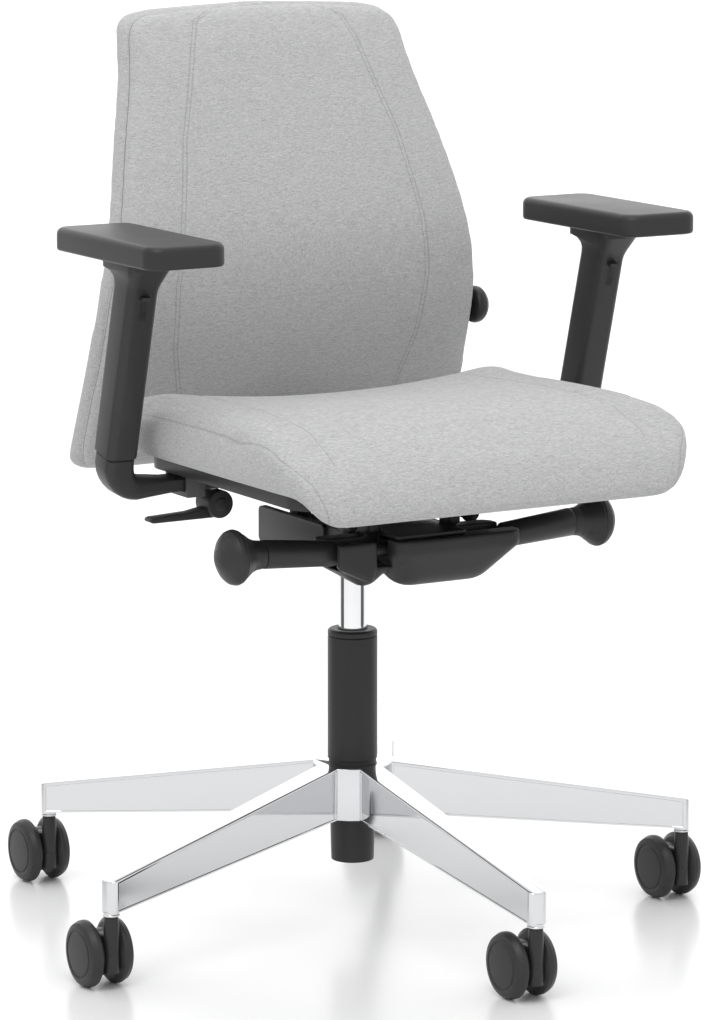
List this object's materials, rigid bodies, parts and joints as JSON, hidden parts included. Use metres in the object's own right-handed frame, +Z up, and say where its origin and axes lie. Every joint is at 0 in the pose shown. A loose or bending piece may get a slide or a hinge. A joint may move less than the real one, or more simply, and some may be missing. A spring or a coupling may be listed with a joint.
{
  "type": "swivel office chair",
  "caption": "Upholstered swivel office chair with waisted back, adjustable armrests, lever-operated tilt mechanism, gas-lift column and polished star base on twin-wheel casters.",
  "frame": {"origin": "on the floor under the swivel axis", "axes": "+Z up, the sitter faces -Y, +X is the sitter's left"},
  "size_m": [0.7032, 0.6911, 0.9155],
  "materials": {
    "polished_base": "mirror polished",
    "chrome": "bright chrome",
    "black_tube": "satin black powder coat",
    "bush_plastic": "natural acetal",
    "zinc": "zinc plated",
    "black_casting": "fine textured black powder coat",
    "black_plastic": "fine grained black",
    "guide_plastic": "dark grey",
    "pad_foam": "soft polyurethane",
    "grey_cloth": "light grey woven cloth",
    "caster_plastic": "satin black",
    "caster_tread": "satin black",
    "caster_pin": "zinc plated"
  },
  "bodies": {
    "base": {"star_base": "polished_base", "leg_collars": "polished_base", "column_tube": "black_tube", "tube_cap": "black_tube", "guide_bush": "bush_plastic", "thrust_bearing": "zinc"},
    "piston": {"piston_rod": "zinc"},
    "mechanism": {"gas_cylinder": "chrome", "mechanism_housing": "black_casting", "mechanism_cover": "black_plastic", "side_covers": "black_plastic", "pivot_axles": "zinc", "recline_spring": "zinc"},
    "valve": {"valve_pin": "zinc"},
    "height_lever": {"height_lever": "black_plastic", "height_knob": "black_plastic"},
    "tilt_lever": {"tilt_lever": "black_plastic"},
    "tension_knob": {"tension_knob": "black_plastic"},
    "seat": {"seat_carrier": "black_casting", "seat_pan": "black_plastic", "seat_cushion": "grey_cloth", "seat_screws": "zinc", "clamp_studs": "zinc", "arm_guides": "guide_plastic"},
    "back": {"back_bearer": "black_casting", "back_shell": "black_plastic", "back_cushion": "grey_cloth", "rear_panel": "grey_cloth"},
    "lumbar_knob": {"lumbar_knob": "black_plastic"},
    "lumbar_plate": {"lumbar_plate": "black_plastic"},
    "left_arm": {"left_arm_bracket": "black_plastic"},
    "left_armrest": {"left_arm_sleeve": "black_plastic", "left_arm_pad": "pad_foam"},
    "left_button": {"left_arm_button": "black_plastic"},
    "left_clamp": {"left_arm_clamp_lever": "black_plastic"},
    "right_arm": {"right_arm_bracket": "black_plastic"},
    "right_armrest": {"right_arm_sleeve": "black_plastic", "right_arm_pad": "pad_foam"},
    "right_button": {"right_arm_button": "black_plastic"},
    "right_clamp": {"right_arm_clamp_lever": "black_plastic"},
    "caster_1": {"caster_1_housing": "caster_plastic", "caster_1_pins": "caster_pin"},
    "caster_1_wheel_left": {"caster_1_wheel_left": "caster_tread"},
    "caster_1_wheel_right": {"caster_1_wheel_right": "caster_tread"},
    "caster_2": {"caster_2_housing": "caster_plastic", "caster_2_pins": "caster_pin"},
    "caster_2_wheel_left": {"caster_2_wheel_left": "caster_tread"},
    "caster_2_wheel_right": {"caster_2_wheel_right": "caster_tread"},
    "caster_3": {"caster_3_housing": "caster_plastic", "caster_3_pins": "caster_pin"},
    "caster_3_wheel_left": {"caster_3_wheel_left": "caster_tread"},
    "caster_3_wheel_right": {"caster_3_wheel_right": "caster_tread"},
    "caster_4": {"caster_4_housing": "caster_plastic", "caster_4_pins": "caster_pin"},
    "caster_4_wheel_left": {"caster_4_wheel_left": "caster_tread"},
    "caster_4_wheel_right": {"caster_4_wheel_right": "caster_tread"},
    "caster_5": {"caster_5_housing": "caster_plastic", "caster_5_pins": "caster_pin"},
    "caster_5_wheel_left": {"caster_5_wheel_left": "caster_tread"},
    "caster_5_wheel_right": {"caster_5_wheel_right": "caster_tread"}
  },
  "joints": [
    {"name": "swivel", "type": "hinge", "parent": "base", "child": "piston", "pos_m": [0, 0, 0.1], "axis": [0, 0, 1], "continuous": true},
    {"name": "seat_height", "type": "slide", "parent": "piston", "child": "mechanism", "axis": [0, 0, 1], "range_m": [-0.065, 0.05]},
    {"name": "valve_press", "type": "slide", "parent": "mechanism", "child": "valve", "axis": [0, 0, -1], "range_m": [0, 0.0038]},
    {"name": "height_lever_pull", "type": "hinge", "parent": "mechanism", "child": "height_lever", "pos_m": [-0.03, -0.128, 0.406], "axis": [0, 1, 0], "range_deg": [0, 6], "stiffness_Nm_per_rad": 8, "springref_deg": -8.59},
    {"name": "tilt_lever_pull", "type": "hinge", "parent": "mechanism", "child": "tilt_lever", "pos_m": [0.03, -0.128, 0.406], "axis": [0, -1, 0], "range_deg": [0, 6], "stiffness_Nm_per_rad": 8, "springref_deg": -8.59},
    {"name": "tension_turn", "type": "hinge", "parent": "tilt_lever", "child": "tension_knob", "pos_m": [0.174, -0.128, 0.413], "axis": [1, 0, 0], "range_deg": [0, 1080]},
    {"name": "recline", "type": "hinge", "parent": "mechanism", "child": "back", "pos_m": [0, 0.04, 0.402], "axis": [-1, 0, 0], "range_deg": [0, 22], "stiffness_Nm_per_rad": 90, "springref_deg": -17.19},
    {"name": "seat_tilt", "type": "hinge", "parent": "mechanism", "child": "seat", "pos_m": [0, -0.11, 0.434], "axis": [-1, 0, 0], "range_deg": [0, 9]},
    {"name": "lumbar_turn", "type": "hinge", "parent": "back", "child": "lumbar_knob", "pos_m": [0.2165, 0.13007, 0.598], "axis": [1, 0, 0], "range_deg": [0, 180]},
    {"name": "lumbar_depth", "type": "slide", "parent": "back", "child": "lumbar_plate", "axis": [0, -1, 0], "range_m": [0, 0.007]},
    {"name": "left_arm_width", "type": "slide", "parent": "seat", "child": "left_arm", "axis": [1, 0, 0], "range_m": [0, 0.025]},
    {"name": "left_arm_height", "type": "slide", "parent": "left_arm", "child": "left_armrest", "axis": [0, -0.2656, 0.9641], "range_m": [0, 0.1]},
    {"name": "left_button_pull", "type": "hinge", "parent": "left_armrest", "child": "left_button", "pos_m": [0.2645, -0.05572, 0.63638], "axis": [1, 0, 0], "range_deg": [0, 6], "stiffness_Nm_per_rad": 0.3, "springref_deg": -11.46},
    {"name": "left_clamp_turn", "type": "hinge", "parent": "seat", "child": "left_clamp", "pos_m": [0.15, 0.012, 0.44], "axis": [0, 1, 0], "range_deg": [0, 80]},
    {"name": "right_arm_width", "type": "slide", "parent": "seat", "child": "right_arm", "axis": [-1, 0, 0], "range_m": [0, 0.025]},
    {"name": "right_arm_height", "type": "slide", "parent": "right_arm", "child": "right_armrest", "axis": [0, -0.2656, 0.9641], "range_m": [0, 0.1]},
    {"name": "right_button_pull", "type": "hinge", "parent": "right_armrest", "child": "right_button", "pos_m": [-0.2645, -0.05572, 0.63638], "axis": [1, 0, 0], "range_deg": [0, 6], "stiffness_Nm_per_rad": 0.3, "springref_deg": -11.46},
    {"name": "right_clamp_turn", "type": "hinge", "parent": "seat", "child": "right_clamp", "pos_m": [-0.15, 0.012, 0.44], "axis": [0, -1, 0], "range_deg": [0, 80]},
    {"name": "caster_1_swivel", "type": "hinge", "parent": "base", "child": "caster_1", "pos_m": [0, -0.345, 0.09], "axis": [0, 0, 1], "continuous": true},
    {"name": "caster_1_left_roll", "type": "hinge", "parent": "caster_1", "child": "caster_1_wheel_left", "pos_m": [0, -0.32, 0.0325], "axis": [1, 0, 0], "continuous": true},
    {"name": "caster_1_right_roll", "type": "hinge", "parent": "caster_1", "child": "caster_1_wheel_right", "pos_m": [0, -0.32, 0.0325], "axis": [1, 0, 0], "continuous": true},
    {"name": "caster_2_swivel", "type": "hinge", "parent": "base", "child": "caster_2", "pos_m": [0.32811, -0.10661, 0.09], "axis": [0, 0, 1], "continuous": true},
    {"name": "caster_2_left_roll", "type": "hinge", "parent": "caster_2", "child": "caster_2_wheel_left", "pos_m": [0.32811, -0.08161, 0.0325], "axis": [1, 0, 0], "continuous": true},
    {"name": "caster_2_right_roll", "type": "hinge", "parent": "caster_2", "child": "caster_2_wheel_right", "pos_m": [0.32811, -0.08161, 0.0325], "axis": [1, 0, 0], "continuous": true},
    {"name": "caster_3_swivel", "type": "hinge", "parent": "base", "child": "caster_3", "pos_m": [0.20279, 0.27911, 0.09], "axis": [0, 0, 1], "continuous": true},
    {"name": "caster_3_left_roll", "type": "hinge", "parent": "caster_3", "child": "caster_3_wheel_left", "pos_m": [0.20279, 0.30411, 0.0325], "axis": [1, 0, 0], "continuous": true},
    {"name": "caster_3_right_roll", "type": "hinge", "parent": "caster_3", "child": "caster_3_wheel_right", "pos_m": [0.20279, 0.30411, 0.0325], "axis": [1, 0, 0], "continuous": true},
    {"name": "caster_4_swivel", "type": "hinge", "parent": "base", "child": "caster_4", "pos_m": [-0.20279, 0.27911, 0.09], "axis": [0, 0, 1], "continuous": true},
    {"name": "caster_4_left_roll", "type": "hinge", "parent": "caster_4", "child": "caster_4_wheel_left", "pos_m": [-0.20279, 0.30411, 0.0325], "axis": [1, 0, 0], "continuous": true},
    {"name": "caster_4_right_roll", "type": "hinge", "parent": "caster_4", "child": "caster_4_wheel_right", "pos_m": [-0.20279, 0.30411, 0.0325], "axis": [1, 0, 0], "continuous": true},
    {"name": "caster_5_swivel", "type": "hinge", "parent": "base", "child": "caster_5", "pos_m": [-0.32811, -0.10661, 0.09], "axis": [0, 0, 1], "continuous": true},
    {"name": "caster_5_left_roll", "type": "hinge", "parent": "caster_5", "child": "caster_5_wheel_left", "pos_m": [-0.32811, -0.08161, 0.0325], "axis": [1, 0, 0], "continuous": true},
    {"name": "caster_5_right_roll", "type": "hinge", "parent": "caster_5", "child": "caster_5_wheel_right", "pos_m": [-0.32811, -0.08161, 0.0325], "axis": [1, 0, 0], "continuous": true}
  ],
  "couplings": [
    {"joint": "valve_press", "follows": "height_lever_pull", "m_per_rad": 0.036},
    {"joint": "seat_tilt", "follows": "recline", "ratio": 0.4},
    {"joint": "lumbar_turn", "follows": "lumbar_depth", "rad_per_m": 448.7}
  ]
}
